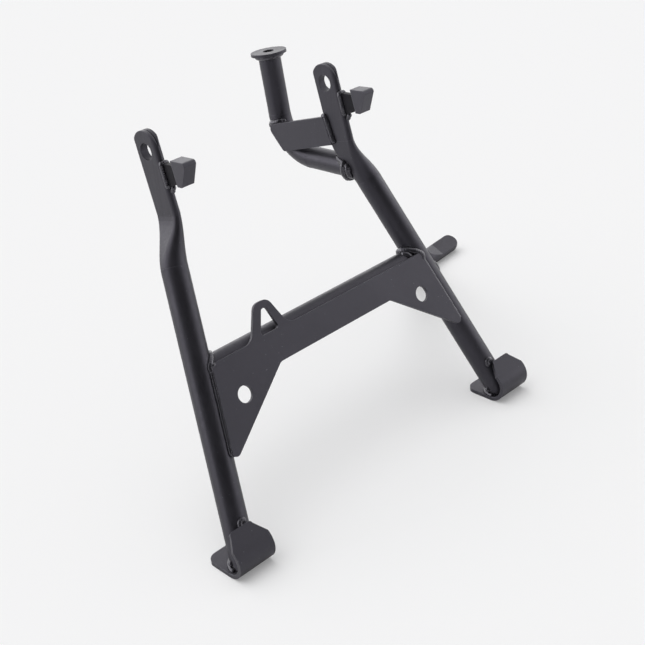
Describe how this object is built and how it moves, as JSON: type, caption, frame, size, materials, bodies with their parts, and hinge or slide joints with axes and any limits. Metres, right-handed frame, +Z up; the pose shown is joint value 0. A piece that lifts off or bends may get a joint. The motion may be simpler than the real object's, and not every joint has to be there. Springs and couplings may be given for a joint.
{
  "type": "motorcycle centre stand",
  "caption": "Welded tube centre stand for a motorcycle, with pivot ears, a cross tube and cut plate, curled feet, a bent peg and a foot lever.",
  "frame": {"origin": "midway between the two pivot holes, on their common axis", "axes": "+X to the stand's right along the pivot axis, +Y to the rear, +Z up, with the stand lowered on its feet"},
  "size_m": [0.6276, 0.2988, 0.3569],
  "materials": {
    "tube": "satin black powder coat on drawn steel tube",
    "plate": "satin black powder coat on cut steel plate"
  },
  "bodies": {
    "root": {"leg_left": "tube", "leg_right": "tube", "cross_tube": "tube", "cross_plate": "plate", "foot_left": "plate", "foot_right": "plate", "peg_tube": "tube", "peg_disk": "plate", "brace_bar": "plate", "stop_web_left": "plate", "stop_web_right": "plate", "stop_block_left": "plate", "stop_block_right": "plate", "lever_tube": "tube"}
  },
  "joints": []
}
